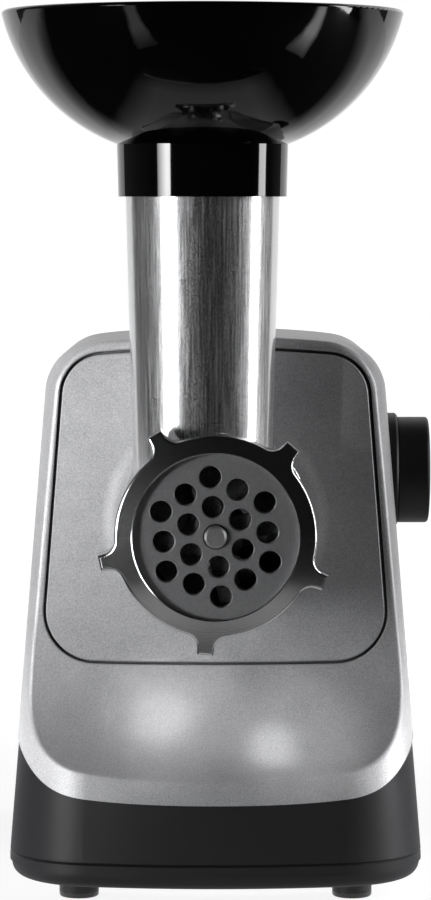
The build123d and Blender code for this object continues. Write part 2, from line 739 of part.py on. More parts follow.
with BuildPart() as control_knob:
    with BuildSketch(knob_plane):
        with Locations((KNOB_Y, KNOB_Z)):
            Circle(KNOB_RADIUS)
    extrude(amount=KNOB_END - KNOB_INNER)
    fillet(control_knob.faces().sort_by(Axis.X)[-1].edges(), radius=1.4)
    with BuildSketch(Plane.YZ.offset(KNOB_END)):
        with Locations((KNOB_Y, KNOB_Z + KNOB_RADIUS * 0.62)):
            SlotCenterToCenter(8, 1.8, rotation=90)
    extrude(amount=-0.8, mode=Mode.SUBTRACT)
    with BuildSketch(knob_plane):
        with Locations((KNOB_Y, KNOB_Z)):
            Circle(KNOB_STEM)
    extrude(amount=SWITCH_INNER + 4 - KNOB_INNER)
save(control_knob.part, "control_knob")

with BuildPart() as rotary_switch:
    with BuildSketch(Plane.YZ.offset(SWITCH_INNER)):
        with Locations((KNOB_Y, KNOB_Z)):
            RectangleRounded(34, 30, 3)
    extrude(amount=KNOB_INNER - SWITCH_INNER)
    add(inner, mode=Mode.INTERSECT)
    with BuildSketch(Plane.YZ.offset(SWITCH_INNER + 2)):
        with Locations((KNOB_Y, KNOB_Z)):
            Circle(KNOB_STEM + RUNNING)
    extrude(amount=KNOB_INNER, mode=Mode.SUBTRACT)
    with BuildSketch(Plane.YZ.offset(SWITCH_INNER)):
        with Locations((KNOB_Y, KNOB_Z)):
            with GridLocations(8, 10, 3, 2):
                Rectangle(4.8, 0.8)
    extrude(amount=-3)
save(rotary_switch.part, "rotary_switch")


# Gear train in its case
def tooth_corners(teeth, module, turn_deg):
    """Corners of a spur gear with straight-sided teeth cut inside the involute."""
    pitch = module * teeth / 2
    base = pitch * cos(radians(PRESSURE_DEG))
    tip = pitch + 0.95 * module
    root = pitch - 1.2 * module
    half_pitch = pi / (2 * teeth) - 0.06 * module / pitch
    half_base = half_pitch + tan(radians(PRESSURE_DEG)) - radians(PRESSURE_DEG)
    tip_angle = acos(base / tip)
    root_angle = acos(min(1.0, base / root))
    half_tip = half_base - tan(tip_angle) + tip_angle
    half_root = half_base - tan(root_angle) + root_angle
    corners = []
    for tooth in range(teeth):
        middle = radians(turn_deg) + 2 * pi * tooth / teeth
        for radius, angle in ((root, -half_root), (tip, -half_tip), (tip, half_tip), (root, half_root)):
            corners.append((radius * cos(middle + angle), radius * sin(middle + angle)))
    return corners


def spur(stage, teeth, module, turn_deg, x, z, bore=0.0):
    """A spur gear between the two depths of a stage, with a tooth at turn_deg."""
    with BuildPart() as gear:
        with BuildSketch(front_plane(stage[1], x, z)):
            with BuildLine():
                Polyline(*tooth_corners(teeth, module, turn_deg), close=True)
            make_face()
            if bore:
                Circle(bore, mode=Mode.SUBTRACT)
        extrude(amount=stage[1] - stage[0])
    return gear.part


to_idler = degrees(atan2(IDLER_Z - AXIS_Z, IDLER_X))
to_motor = degrees(atan2(MOTOR_Z - IDLER_Z, -IDLER_X))

with BuildPart() as output_gear:
    add(spur(STAGE_A, DRIVE_TEETH, DRIVE_MODULE, to_idler, 0, AXIS_Z, SHAFT))
    with BuildSketch(front_plane(STAGE_A[1], z=AXIS_Z)):
        with PolarLocations(24, 6):
            Circle(7.0)
    extrude(amount=FAR, mode=Mode.SUBTRACT)
save(output_gear.part, "output_gear")

with BuildPart() as output_shaft:
    add(
        turned(
            [
                (-31.0, 0),
                (-31.0, 9.6),
                (-9.0, 9.6),
                (-9.0, JOURNAL),
                (LID_BACK + 1.0, JOURNAL),
                (LID_BACK + 1.0, SHAFT),
                (CASE_BACK, SHAFT),
                (CASE_BACK, 0),
            ]
        )
    )
    with BuildSketch(front_plane(-12.0, z=AXIS_Z)):
        RegularPolygon(HEX_FLATS / 2, 6, major_radius=False)
    extrude(amount=FAR, mode=Mode.SUBTRACT)
save(output_shaft.part, "output_shaft")

with BuildPart() as idler_gear:
    idler_bore = IDLER_PIN + RUNNING
    pinion_turn = to_idler + 180 + 180 / DRIVE_PINION
    pinion_stage = (STAGE_A[0] - 0.5, STAGE_B[0])
    add(spur(pinion_stage, DRIVE_PINION, DRIVE_MODULE, pinion_turn, IDLER_X, IDLER_Z, idler_bore))
    add(spur(STAGE_B, FAST_TEETH, FAST_MODULE, to_motor, IDLER_X, IDLER_Z, idler_bore))
save(idler_gear.part, "idler_gear")

save(rod(LID_BACK - 2, CASE_BACK - 1, IDLER_PIN, IDLER_X, IDLER_Z), "idler_pin")

motor_turn = to_motor + 180 + 180 / FAST_PINION
save(
    spur((STAGE_B[0] - 1, STAGE_B[1] + 0.8), FAST_PINION, FAST_MODULE, motor_turn, 0, MOTOR_Z, 2.6),
    "motor_pinion",
)


def case_outline(y, margin):
    """Outline of the gear case, wrapped round its gears."""
    with BuildSketch(front_plane(y)) as outline:
        with Locations((0, AXIS_Z)):
            Circle(44.0 + margin)
        with Locations((IDLER_X, IDLER_Z)):
            Circle(29.5 + margin)
        with Locations((0, MOTOR_Z)):
            Circle(16.0 + margin)
        make_hull()
    return outline.sketch


with BuildPart() as gear_lid:
    extrude(case_outline(LID_BACK, CASE_WALL), amount=-SOCKET_REAR)
    with BuildSketch(front_plane(LID_BACK, z=AXIS_Z)):
        Circle(12.0)
    extrude(amount=FAR, mode=Mode.SUBTRACT)
    add(rod(LID_BACK - 2, LID_BACK, IDLER_PIN, IDLER_X, IDLER_Z), mode=Mode.SUBTRACT)
save(gear_lid.part, "gear_lid")

with BuildPart() as gear_case:
    extrude(case_outline(CASE_BACK, CASE_WALL), amount=CASE_BACK - LID_BACK)
    extrude(case_outline(CASE_BACK - CASE_PLATE, 0), amount=CASE_BACK, mode=Mode.SUBTRACT)
    with BuildSketch(front_plane(CASE_BACK)):
        with Locations((0, AXIS_Z)):
            Circle(9.0)
        with Locations((0, MOTOR_Z)):
            Circle(9.5)
    extrude(amount=CASE_PLATE, mode=Mode.SUBTRACT)
    add(rod(LID_BACK, CASE_BACK - 1, IDLER_PIN, IDLER_X, IDLER_Z), mode=Mode.SUBTRACT)
save(gear_case.part, "gear_case")

save(bush(SOCKET_REAR - 4, LID_BACK, 12.0, JOURNAL + RUNNING), "output_bush")
save(bush(CASE_BACK - CASE_PLATE, CASE_BACK, 9.0, SHAFT + RUNNING), "rear_bush")

# Motor
save(
    turned(
        [
            (STAGE_B[0] - 1, 0),
            (STAGE_B[0] - 1, 2.6),
            (CASE_BACK - CASE_PLATE - 0.6, 2.6),
            (CASE_BACK - CASE_PLATE - 0.6, MOTOR_SHAFT),
            (BRACKET[1] + 1, MOTOR_SHAFT),
            (BRACKET[1] + 1, 0),
        ],
        0,
        MOTOR_Z,
    ),
    "motor_shaft",
)

with BuildPart() as motor_bearings:
    add(bush(CASE_BACK - CASE_PLATE, CASE_BACK, 9.5, MOTOR_SHAFT + RUNNING, 0, MOTOR_Z))
    add(bush(BRACKET[0], BRACKET[1], 9.5, MOTOR_SHAFT + RUNNING, 0, MOTOR_Z))
save(motor_bearings.part, "motor_bearings")

with BuildPart() as rotor_core:
    with BuildSketch(front_plane(STATOR[1], 0, MOTOR_Z)):
        Circle(ROTOR_RADIUS)
        Circle(MOTOR_SHAFT, mode=Mode.SUBTRACT)
        with PolarLocations(ROTOR_RADIUS - 3, 12):
            SlotOverall(9, 3, mode=Mode.SUBTRACT)
    extrude(amount=STATOR[1] - STATOR[0])
save(rotor_core.part, "rotor_core")

with BuildPart() as rotor_winding:
    for front, back in ((STATOR[0] - 6, STATOR[0]), (STATOR[1], STATOR[1] + 8)):
        add(bush(front, back, ROTOR_RADIUS - 2.5, MOTOR_SHAFT + 2, 0, MOTOR_Z))
    fillet(rotor_winding.edges().filter_by(GeomType.CIRCLE).sort_by(SortBy.LENGTH)[-4:], radius=1.8)
save(rotor_winding.part, "rotor_winding")

with BuildPart() as commutator:
    with BuildSketch(front_plane(COMMUTATOR[1], 0, MOTOR_Z)):
        Circle(11.0)
        Circle(MOTOR_SHAFT, mode=Mode.SUBTRACT)
        with PolarLocations(11.0, 12):
            Rectangle(1.6, 0.7, mode=Mode.SUBTRACT)
    extrude(amount=COMMUTATOR[1] - COMMUTATOR[0])
save(commutator.part, "commutator")

with BuildPart() as cooling_fan:
    with BuildSketch(front_plane(FAN[1], 0, MOTOR_Z)):
        Circle(FAN_RADIUS)
        Circle(MOTOR_SHAFT, mode=Mode.SUBTRACT)
    extrude(amount=1.8)
    with BuildSketch(front_plane(FAN[1] - 1.8, 0, MOTOR_Z)):
        Circle(8.0)
        with PolarLocations(FAN_RADIUS / 2 + 3, FAN_BLADES):
            Rectangle(FAN_RADIUS - 7, 1.6, rotation=18)
        Circle(FAN_RADIUS, mode=Mode.INTERSECT)
        Circle(MOTOR_SHAFT, mode=Mode.SUBTRACT)
    extrude(amount=FAN[1] - FAN[0] - 1.8)
save(cooling_fan.part, "cooling_fan")

with BuildPart() as stator_core:
    with BuildSketch(front_plane(STATOR[1], 0, MOTOR_Z)):
        RectangleRounded(STATOR_WIDTH, STATOR_HEIGHT, 10)
        Circle(ROTOR_RADIUS + 0.6, mode=Mode.SUBTRACT)
        with Locations((-26, 0), (26, 0)):
            RectangleRounded(16, 44, 3, mode=Mode.SUBTRACT)
        with Locations((0, 0)):
            Rectangle(52, 17, mode=Mode.SUBTRACT)
        with GridLocations(70, 58, 2, 2):
            Circle(2.1, mode=Mode.SUBTRACT)
    extrude(amount=STATOR[1] - STATOR[0])
save(stator_core.part, "stator_core")

with BuildPart() as field_coils:
    with BuildSketch(front_plane(STATOR[1] + 6, 0, MOTOR_Z)):
        with Locations((-28, 0), (28, 0)):
            RectangleRounded(10.5, 42, 3)
    extrude(amount=STATOR[1] - STATOR[0] + 12)
    fillet(field_coils.faces().filter_by(Plane.XZ).edges(), radius=1.5)
save(field_coils.part, "field_coils")

with BuildPart() as motor_bracket:
    with BuildSketch(front_plane(BRACKET[1], 0, MOTOR_Z)):
        RectangleRounded(STATOR_WIDTH, 20, 6)
        Rectangle(26, STATOR_HEIGHT)
        Circle(20)
        for angle in (1, -1):
            Rectangle(92, 11, rotation=angle * degrees(atan2(58, 70)))
        with GridLocations(70, 58, 2, 2):
            Circle(5.2)
            Circle(2.1, mode=Mode.SUBTRACT)
        Circle(9.5, mode=Mode.SUBTRACT)
    extrude(amount=BRACKET[1] - BRACKET[0])
    with BuildSketch(front_plane(BRACKET[0], 0, MOTOR_Z)):
        with GridLocations(70, 58, 2, 2):
            Circle(5.2)
            Circle(2.1, mode=Mode.SUBTRACT)
    extrude(amount=BRACKET[0] - STATOR[1])
save(motor_bracket.part, "motor_bracket")

with BuildPart() as motor_spacers:
    with BuildSketch(front_plane(STATOR[0], 0, MOTOR_Z)):
        with GridLocations(70, 58, 2, 2):
            Circle(5.2)
            Circle(2.1, mode=Mode.SUBTRACT)
    extrude(amount=STATOR[0] - CASE_BACK)
save(motor_spacers.part, "motor_spacers")

with BuildPart() as motor_bolts:
    with BuildSketch(front_plane(BRACKET[1], 0, MOTOR_Z)):
        with GridLocations(70, 58, 2, 2):
            Circle(2.0)
    extrude(amount=BRACKET[1] - CASE_BACK)
    with BuildSketch(front_plane(BRACKET[1] + 3, 0, MOTOR_Z)):
        with GridLocations(70, 58, 2, 2):
            Circle(3.8)
    extrude(amount=3)
save(motor_bolts.part, "motor_bolts")

with BuildPart() as brush_holders:
    for side in (-1, 1):
        with Locations((side * 24.0, BRACKET[0], MOTOR_Z)):
            Box(22, BRACKET[0] - COMMUTATOR[0] - 2, 9, align=(Align.CENTER, Align.MAX, Align.CENTER))
        with Locations((side * 24.0, (COMMUTATOR[0] + COMMUTATOR[1]) / 2, MOTOR_Z)):
            Box(26, 7.1, 6.1, mode=Mode.SUBTRACT)
save(brush_holders.part, "brush_holders")

with BuildPart() as carbon_brushes:
    for side in (-1, 1):
        with Locations((side * 20.2, (COMMUTATOR[0] + COMMUTATOR[1]) / 2, MOTOR_Z)):
            Box(18, 7, 6)
save(carbon_brushes.part, "carbon_brushes")
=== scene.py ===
# %% [markdown]
# # Electric meat grinder
# The solids of this appliance are already made and packed, and every one of them is loaded here as the frame. This
# lesson gives them their looks: a few pieces modelled with more detail, finishes, light and a camera. All lengths
# are in metres. The grinding head points to -Y, +X is the viewer's right, and the feet stand on z = 0.

# %% Load the frame
import json
import math

import bpy
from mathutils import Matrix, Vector


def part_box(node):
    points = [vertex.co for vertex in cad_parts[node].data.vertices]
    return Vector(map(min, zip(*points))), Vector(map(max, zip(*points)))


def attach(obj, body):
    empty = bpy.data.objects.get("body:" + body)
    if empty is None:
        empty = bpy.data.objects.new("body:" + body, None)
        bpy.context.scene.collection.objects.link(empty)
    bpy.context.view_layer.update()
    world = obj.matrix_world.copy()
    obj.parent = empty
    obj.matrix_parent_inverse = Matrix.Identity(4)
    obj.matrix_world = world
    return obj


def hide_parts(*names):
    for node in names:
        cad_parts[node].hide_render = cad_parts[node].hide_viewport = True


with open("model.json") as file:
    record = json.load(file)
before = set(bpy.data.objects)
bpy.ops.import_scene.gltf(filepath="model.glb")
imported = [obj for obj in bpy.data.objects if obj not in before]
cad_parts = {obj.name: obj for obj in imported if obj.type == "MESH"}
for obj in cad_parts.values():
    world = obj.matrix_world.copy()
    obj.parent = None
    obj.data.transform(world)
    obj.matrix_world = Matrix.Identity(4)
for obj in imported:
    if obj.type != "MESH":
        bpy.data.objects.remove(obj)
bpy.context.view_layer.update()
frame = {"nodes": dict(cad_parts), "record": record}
nodes = frame["nodes"]

# %% [markdown]
# Every new piece below is modelled with the ordinary tools of edit mode. There is no window to click in, so edges
# and faces are chosen by where their middles lie. Four small helpers keep the cells short. They make a piece the
# only selected one, pick some of its edges or faces, close a finished piece, and copy it to other places.

# %% Select by place
NEAR = 1e-5
MERGE_DISTANCE = 1e-6
SMOOTH_DEG = 35


def lone(piece):
    """Leave edit mode, select only this piece and make it active."""
    if bpy.context.mode != "OBJECT":
        bpy.ops.object.mode_set(mode="OBJECT")
    bpy.ops.object.select_all(action="DESELECT")
    piece.select_set(True)
    bpy.context.view_layer.objects.active = piece


def pick(piece, kind, test):
    """Open a piece in edit mode with only the edges or faces selected whose middle passes a test."""
    lone(piece)
    bpy.ops.object.mode_set(mode="EDIT")
    bpy.ops.mesh.select_mode(type=kind)
    bpy.ops.mesh.select_all(action="DESELECT")
    bpy.ops.object.mode_set(mode="OBJECT")
    mesh = piece.data
    if kind == "FACE":
        for face in mesh.polygons:
            face.select = test(face.center)
    else:
        for edge in mesh.edges:
            first, second = (mesh.vertices[i].co for i in edge.vertices)
            edge.select = test((first + second) / 2)
    bpy.ops.object.mode_set(mode="EDIT")


def settle(piece, name):
    """Leave edit mode with clean normals, the piece's place written into its mesh, and smooth shading."""
    lone(piece)
    bpy.ops.object.mode_set(mode="EDIT")
    bpy.ops.mesh.select_all(action="SELECT")
    bpy.ops.mesh.remove_doubles(threshold=MERGE_DISTANCE)
    bpy.ops.mesh.normals_make_consistent(inside=False)
    bpy.ops.object.mode_set(mode="OBJECT")
    bpy.ops.object.transform_apply(location=True, rotation=True, scale=True)
    bpy.ops.object.shade_smooth_by_angle(angle=math.radians(SMOOTH_DEG))
    piece.name = name
    piece.data.name = name


def copies(piece, places):
    """Copy a finished piece to other places, each with a mesh of its own."""
    made = [piece]
    for place in places:
        lone(piece)
        bpy.ops.object.duplicate()
        twin = bpy.context.active_object
        twin.location = place
        settle(twin, piece.name)
        made.append(twin)
    return made


print("helpers ready")

# %% [markdown]
# The grinder stands on four pressed-in rubber feet. Each one has a rounded lower edge, so that it does not mark
# the table, and a shallow hollow underneath that lets it grip. A foot could be spun from a profile, but a cylinder
# already has the wall and only its lower end needs work: an inset and an extrusion make the hollow, and a bevel
# makes the soft edge. One foot is modelled and three copies are moved.

# %% Rubber feet
FOOT_RADIUS = 0.0076
FOOT_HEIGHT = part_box("rubber_feet")[1].z
FOOT_X = 0.0524
FOOT_YS = (-0.028, 0.104)
FOOT_PLACES = [(x, y) for x in (-FOOT_X, FOOT_X) for y in FOOT_YS]
FOOT_ROUND = 0.0011
HOLLOW_RIM = 0.0028
HOLLOW_DEPTH = 0.0014
HOLLOW_TAPER = 0.86
RIM_SHARE = 0.98

first_x, first_y = FOOT_PLACES[0]
bpy.ops.mesh.primitive_cylinder_add(
    vertices=48, radius=FOOT_RADIUS, depth=FOOT_HEIGHT, location=(first_x, first_y, FOOT_HEIGHT / 2)
)
foot = bpy.context.active_object
pick(foot, "FACE", lambda at: at.z < -FOOT_HEIGHT / 2 + NEAR)
bpy.ops.mesh.inset(thickness=HOLLOW_RIM)
bpy.ops.mesh.extrude_region_move(TRANSFORM_OT_translate={"value": (0, 0, HOLLOW_DEPTH)})
bpy.ops.transform.resize(value=(HOLLOW_TAPER, HOLLOW_TAPER, 1))
pick(foot, "EDGE", lambda at: at.z < -FOOT_HEIGHT / 2 + NEAR and at.xy.length > FOOT_RADIUS * RIM_SHARE)
bpy.ops.mesh.bevel(offset=FOOT_ROUND, segments=4)
settle(foot, "rubber_foot")
feet = copies(foot, [(x - first_x, y - first_y, 0) for x, y in FOOT_PLACES[1:]])
for piece in feet:
    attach(piece, "body")
    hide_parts("rubber_feet")
print("feet:", len(feet), "high", round(FOOT_HEIGHT, 4))

# %% [markdown]
# Four self-cutting screws hold the bottom cover, and their round heads lie deep in the cover's holes. A head and a
# shank could be two cylinders pushed together. Here the head is a short cylinder with a bevelled rim and the shank
# is drawn out of its upper face, because that leaves one closed skin for the next step to cut.

# %% Cover screw
HEAD_RADIUS = 0.0038
HEAD_DEPTH = 0.003
HEAD_ROUND = 0.0011
SHANK_RADIUS = 0.0018
TIP_LENGTH = 0.003
TIP_TAPER = 0.3
screw_low, screw_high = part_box("cover_screws")
SCREW_X = screw_high.x - HEAD_RADIUS
SCREW_YS = (screw_low.y + HEAD_RADIUS, screw_high.y - HEAD_RADIUS)
SCREW_PLACES = [(x, y) for x in (-SCREW_X, SCREW_X) for y in SCREW_YS]

first_x, first_y = SCREW_PLACES[0]
head_middle = Vector((first_x, first_y, screw_low.z + HEAD_DEPTH / 2))
bpy.ops.mesh.primitive_cylinder_add(vertices=40, radius=HEAD_RADIUS, depth=HEAD_DEPTH, location=head_middle)
screw = bpy.context.active_object
pick(screw, "EDGE", lambda at: at.z < -HEAD_DEPTH / 2 + NEAR and at.xy.length > HEAD_RADIUS * RIM_SHARE)
bpy.ops.mesh.bevel(offset=HEAD_ROUND, segments=5)
pick(screw, "FACE", lambda at: at.z > HEAD_DEPTH / 2 - NEAR)
bpy.ops.mesh.inset(thickness=HEAD_RADIUS - SHANK_RADIUS)
shank = screw_high.z - screw_low.z - HEAD_DEPTH
bpy.ops.mesh.extrude_region_move(TRANSFORM_OT_translate={"value": (0, 0, shank - TIP_LENGTH)})
bpy.ops.mesh.extrude_region_move(TRANSFORM_OT_translate={"value": (0, 0, TIP_LENGTH)})
bpy.ops.transform.resize(value=(TIP_TAPER, TIP_TAPER, 1))
bpy.ops.object.mode_set(mode="OBJECT")
print("screw long", round(screw_high.z - screw_low.z, 4))

# %% [markdown]
# The screws are driven by a cross recess. It could be pushed into the faces one by one, but a Boolean modifier
# gives it straight walls, with one cut for each of two crossed bars. The finished screw is copied to the other
# three holes.

# %% Cross recess
RECESS_LENGTH = 0.0042
RECESS_WIDTH = 0.0009
RECESS_BAR = 0.0032

for length, width in ((RECESS_LENGTH, RECESS_WIDTH), (RECESS_WIDTH, RECESS_LENGTH)):
    bpy.ops.mesh.primitive_cube_add(size=1, location=head_middle - Vector((0, 0, HEAD_DEPTH / 2)))
    bar = bpy.context.active_object
    bar.scale = (length, width, RECESS_BAR)
    lone(bar)
    bpy.ops.object.transform_apply(location=True, scale=True)
    cut = screw.modifiers.new("recess", "BOOLEAN")
    cut.operation = "DIFFERENCE"
    cut.object = bar
    lone(screw)
    bpy.ops.object.modifier_apply(modifier=cut.name)
    lone(bar)
    bpy.ops.object.delete()
settle(screw, "cover_screw")
screws = copies(screw, [(x - first_x, y - first_y, 0) for x, y in SCREW_PLACES[1:]])
for piece in screws:
    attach(piece, "body")
    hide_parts("cover_screws")
print("screws:", len(screws))

# %% [markdown]
# The ring nut runs on a coarse thread at the front of the barrel, which shows when the nut is undone. Plain rings
# would be quicker, but a thread climbs. So one ridge is drawn as a small three-sided outline, and the Screw
# modifier carries it round the barrel's axis and forward by one pitch for each turn. Its two open ends are closed
# afterwards.

# %% Thread on the barrel
AXIS_Z = 0.1453
PITCH = 0.0025
TURNS = 4
THREAD_RADIUS = 0.0336
THREAD_START = -0.0918
STEPS_A_TURN = 72
RIDGE_RADIUS = 0.0005
RIDGE_STRETCH = (0.8, 1.6, 1)
RIDGE_SINK = 0.0001

bpy.ops.mesh.primitive_circle_add(
    vertices=3, radius=RIDGE_RADIUS, location=(0, 0, AXIS_Z), rotation=(0, 0, math.pi / 2)
)
thread = bpy.context.active_object
bpy.ops.object.transform_apply(location=False, rotation=True)
bpy.ops.object.mode_set(mode="EDIT")
bpy.ops.mesh.select_all(action="SELECT")
bpy.ops.transform.resize(value=RIDGE_STRETCH)
bpy.ops.transform.translate(value=(THREAD_RADIUS - RIDGE_SINK, THREAD_START, 0))
bpy.ops.object.mode_set(mode="OBJECT")
sweep = thread.modifiers.new("sweep", "SCREW")
sweep.axis = "Y"
sweep.angle = TURNS * 2 * math.pi
sweep.screw_offset = -TURNS * PITCH
sweep.steps = TURNS * STEPS_A_TURN
sweep.render_steps = sweep.steps
bpy.ops.object.modifier_apply(modifier=sweep.name)
bpy.ops.object.mode_set(mode="EDIT")
bpy.ops.mesh.select_mode(type="EDGE")
bpy.ops.mesh.select_all(action="DESELECT")
bpy.ops.mesh.select_non_manifold()
bpy.ops.mesh.fill()
settle(thread, "barrel_thread")
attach(thread, "head")
reach = max(math.hypot(point.co.x, point.co.z - AXIS_Z) for point in thread.data.vertices)
print("thread crest radius", round(reach, 5))

# %% [markdown]
# The knob's face carries a moulded slot that is filled with pale paint, so that its position can be read. A
# pattern in the knob's own finish would have a soft edge, so the filling is a piece of its own: a thin bar a
# little smaller than the slot, with its corner edges bevelled until its ends are round.

# %% Knob pointer
POINTER_SIZE = (0.0006, 0.0016, 0.0096)
POINTER_SINK = 0.0005
POINTER_REACH = 0.62
END_ROUND = 0.00078
FACE_ROUND = 0.00012

knob_low, knob_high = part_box("control_knob")
knob_middle = (knob_low + knob_high) / 2
knob_radius = (knob_high.z - knob_low.z) / 2
pointer_at = (knob_high.x - POINTER_SINK, knob_middle.y, knob_middle.z + POINTER_REACH * knob_radius)
bpy.ops.mesh.primitive_cube_add(size=1, location=pointer_at)
pointer = bpy.context.active_object
pointer.scale = POINTER_SIZE
bpy.ops.object.transform_apply(location=False, scale=True)
thick, wide, tall = (length / 2 - NEAR for length in POINTER_SIZE)
pick(pointer, "EDGE", lambda at: abs(at.y) > wide and abs(at.z) > tall)
bpy.ops.mesh.bevel(offset=END_ROUND, segments=6)
pick(pointer, "EDGE", lambda at: at.x > thick)
bpy.ops.mesh.bevel(offset=FACE_ROUND, segments=2)
settle(pointer, "knob_pointer")
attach(pointer, "knob")
print("pointer at height", round(pointer_at[2], 4))

# %% [markdown]
# Finishes are made of shader nodes. They could be wired up one by one, but sums in plain Python are easier to
# read. So one small class wraps a node's output: adding or multiplying two of them adds a Math node, and one
# method adds any other node. A field without an output is only a place to start from.

# %% A socket that does sums
class Field:
    """A value that changes over a surface: one output of a shader node."""

    def __init__(self, tree, output=None):
        self.tree = tree
        self.output = output

    def node(self, kind, settings, sockets, out=0):
        """Add a node of any kind, with its settings first and then its socket values or links."""
        made = self.tree.nodes.new("ShaderNode" + kind)
        for name, value in settings.items():
            setattr(made, name, value)
        for name, value in sockets.items():
            if isinstance(value, Field):
                self.tree.links.new(value.output, made.inputs[name])
            else:
                made.inputs[name].default_value = value
        return Field(self.tree, made.outputs[out])

    def maths(self, operation, first, second):
        return self.node("Math", {"operation": operation}, {0: first, 1: second})

    def __add__(self, other):
        return self.maths("ADD", self, other)

    __radd__ = __add__

    def __sub__(self, other):
        return self.maths("SUBTRACT", self, other)

    def __rsub__(self, other):
        return self.maths("SUBTRACT", other, self)

    def __mul__(self, other):
        return self.maths("MULTIPLY", self, other)

    __rmul__ = __mul__

    def __abs__(self):
        return self.maths("ABSOLUTE", self, 0)

    def spread(self, low, high):
        """0 below low, 1 above high, and straight between."""
        return self.node("MapRange", {}, {"Value": self, "From Min": low, "From Max": high})

    def between(self, dark, light):
        """A colour that goes from dark to light as this value goes from 0 to 1."""
        sockets = {"Factor": self, 6: (*dark, 1), 7: (*light, 1)}
        return self.node("Mix", {"data_type": "RGBA"}, sockets, out=2)

    def shade(self, colour):
        """A colour that fades almost to black as this value goes from 1 to 0."""
        sockets = {"Factor": self, 6: (0.01, 0.01, 0.01, 1), 7: colour}
        return self.node("Mix", {"data_type": "RGBA"}, sockets, out=2)


print("sums ready")

# %% [markdown]
# A finish is a material with one Principled shader. Its patterns could follow the world, but then they would slide
# over a piece that moves on its joint, so they read the piece's own coordinates. Noise can be stretched along an
# axis, as on the streaked tube, or laid in rings, as on a turned face.

# %% A finish
class Finish:
    """A material with one Principled shader and the piece's own coordinates."""

    def __init__(self, name, roughness, metallic=0.0):
        self.material = bpy.data.materials.new(name)
        self.material.use_nodes = True
        self.tree = self.material.node_tree
        self.shader = self.tree.nodes["Principled BSDF"]
        self.shader.inputs["Roughness"].default_value = roughness
        self.shader.inputs["Metallic"].default_value = metallic
        self.place = Field(self.tree).node("TexCoord", {}, {}, out="Object")

    def axis(self, number):
        """The piece's own x, y or z coordinate, numbered 0 to 2."""
        return self.place.node("SeparateXYZ", {}, {"Vector": self.place}, out=number)

    def noise(self, cells, detail=2.0, stretch=(1, 1, 1)):
        """Cloudy noise from 0 to 1 with so many cells a metre, fewer along an axis that is stretched."""
        sockets = {"Vector": self.place, "Scale": tuple(cells * share for share in stretch)}
        place = self.place.node("Mapping", {}, sockets)
        return place.node("TexNoise", {}, {"Vector": place, "Scale": 1.0, "Detail": detail})

    def rings(self, cells, centre, across):
        """Noise in rings round a line through a centre, across the two axes marked 1."""
        shift = tuple(-c * a for c, a in zip(centre, across))
        place = self.place.node("Mapping", {}, {"Vector": self.place, "Location": shift, "Scale": across})
        radius = place.node("VectorMath", {"operation": "LENGTH"}, {0: place}, out=1)
        return radius.node("TexNoise", {"noise_dimensions": "1D"}, {"W": radius, "Scale": cells, "Detail": 2.0})

    def feed(self, socket, field):
        self.tree.links.new(field.output, self.shader.inputs[socket])

    def bump(self, height, depth):
        """Raise the surface by a field, depth metres from 0 to 1."""
        self.feed("Normal", height.node("Bump", {}, {"Strength": 1.0, "Distance": depth, "Height": height}))


finishes = {}
print("finish tools ready")

# %% [markdown]
# The shells and the front panel are moulded plastic sprayed with silver paint. Its flakes lie at all angles, which
# gives a fine grain and a broad soft gloss. Fine noise moves the colour, the roughness and the surface a little,
# and slow clouds keep large areas from looking like one flat tint. Shade is also painted into the colour: where
# other surfaces stand close round it, as in narrow gaps and grooves, an Ambient Occlusion node tells it and the
# paint is darkened there.

# %% Silver paint
PAINTED_SHADE_REACH = 0.0025

silver = Finish("silver_paint", roughness=0.45, metallic=0.4)
flakes = silver.noise(cells=2600, detail=1.0)
clouds = silver.noise(cells=90, detail=3.0)
tint = (flakes * 0.8 + clouds * 0.2).spread(0.25, 0.75)
paint = tint.between((0.28, 0.28, 0.29), (0.56, 0.56, 0.57))
# Painted shade: the colour goes dark in gaps and grooves, where other surfaces stand close round it.
painted_shade_openness = paint.node("AmbientOcclusion", {"samples": 8}, {"Distance": PAINTED_SHADE_REACH}, out=1)
silver.feed("Base Color", painted_shade_openness.spread(0.3, 0.6).shade(paint))
silver.feed("Roughness", 0.38 + flakes * 0.16)
silver.bump(flakes, depth=0.00002)
finishes["silver_paint"] = silver
print("made", silver.material.name)

# %% [markdown]
# The base and its cover are dark plastic from a fine spark-eroded mould. The grain is too small to see as a
# pattern, but it breaks up the highlights, so it goes into the roughness and, very shallow, into the surface.

# %% Charcoal plastic
charcoal = Finish("charcoal_plastic", roughness=0.5)
grain = charcoal.noise(cells=1800)
charcoal.feed("Base Color", grain.between((0.006, 0.006, 0.007), (0.012, 0.012, 0.013)))
charcoal.feed("Roughness", 0.40 + grain * 0.16)
charcoal.shader.inputs["Specular IOR Level"].default_value = 0.35
charcoal.bump(grain, depth=0.00003)
finishes["charcoal_plastic"] = charcoal
print("made", charcoal.material.name)

# %% [markdown]
# The hopper tray is glossy black plastic. Large slow waves of almost no height bend its reflections the way a real
# moulding does, and a faint haze keeps the gloss from being perfect.

# %% Black gloss
gloss = Finish("black_gloss", roughness=0.06)
haze = gloss.noise(cells=60, detail=3.0)
gloss.feed("Base Color", haze.between((0.0008, 0.0008, 0.001), (0.002, 0.002, 0.0023)))
gloss.feed("Roughness", 0.03 + haze * 0.05)
gloss.bump(gloss.noise(cells=25, detail=1.0), depth=0.00003)
gloss.shader.inputs["Specular IOR Level"].default_value = 0.4
finishes["black_gloss"] = gloss
print("made", gloss.material.name)

# %% [markdown]
# Rubber, the plastic of the gear case, the milky nylon of the gears and the pressed carbon of the brushes differ
# in colour, in gloss and in how coarse their grain is. One helper makes them all from those three things.

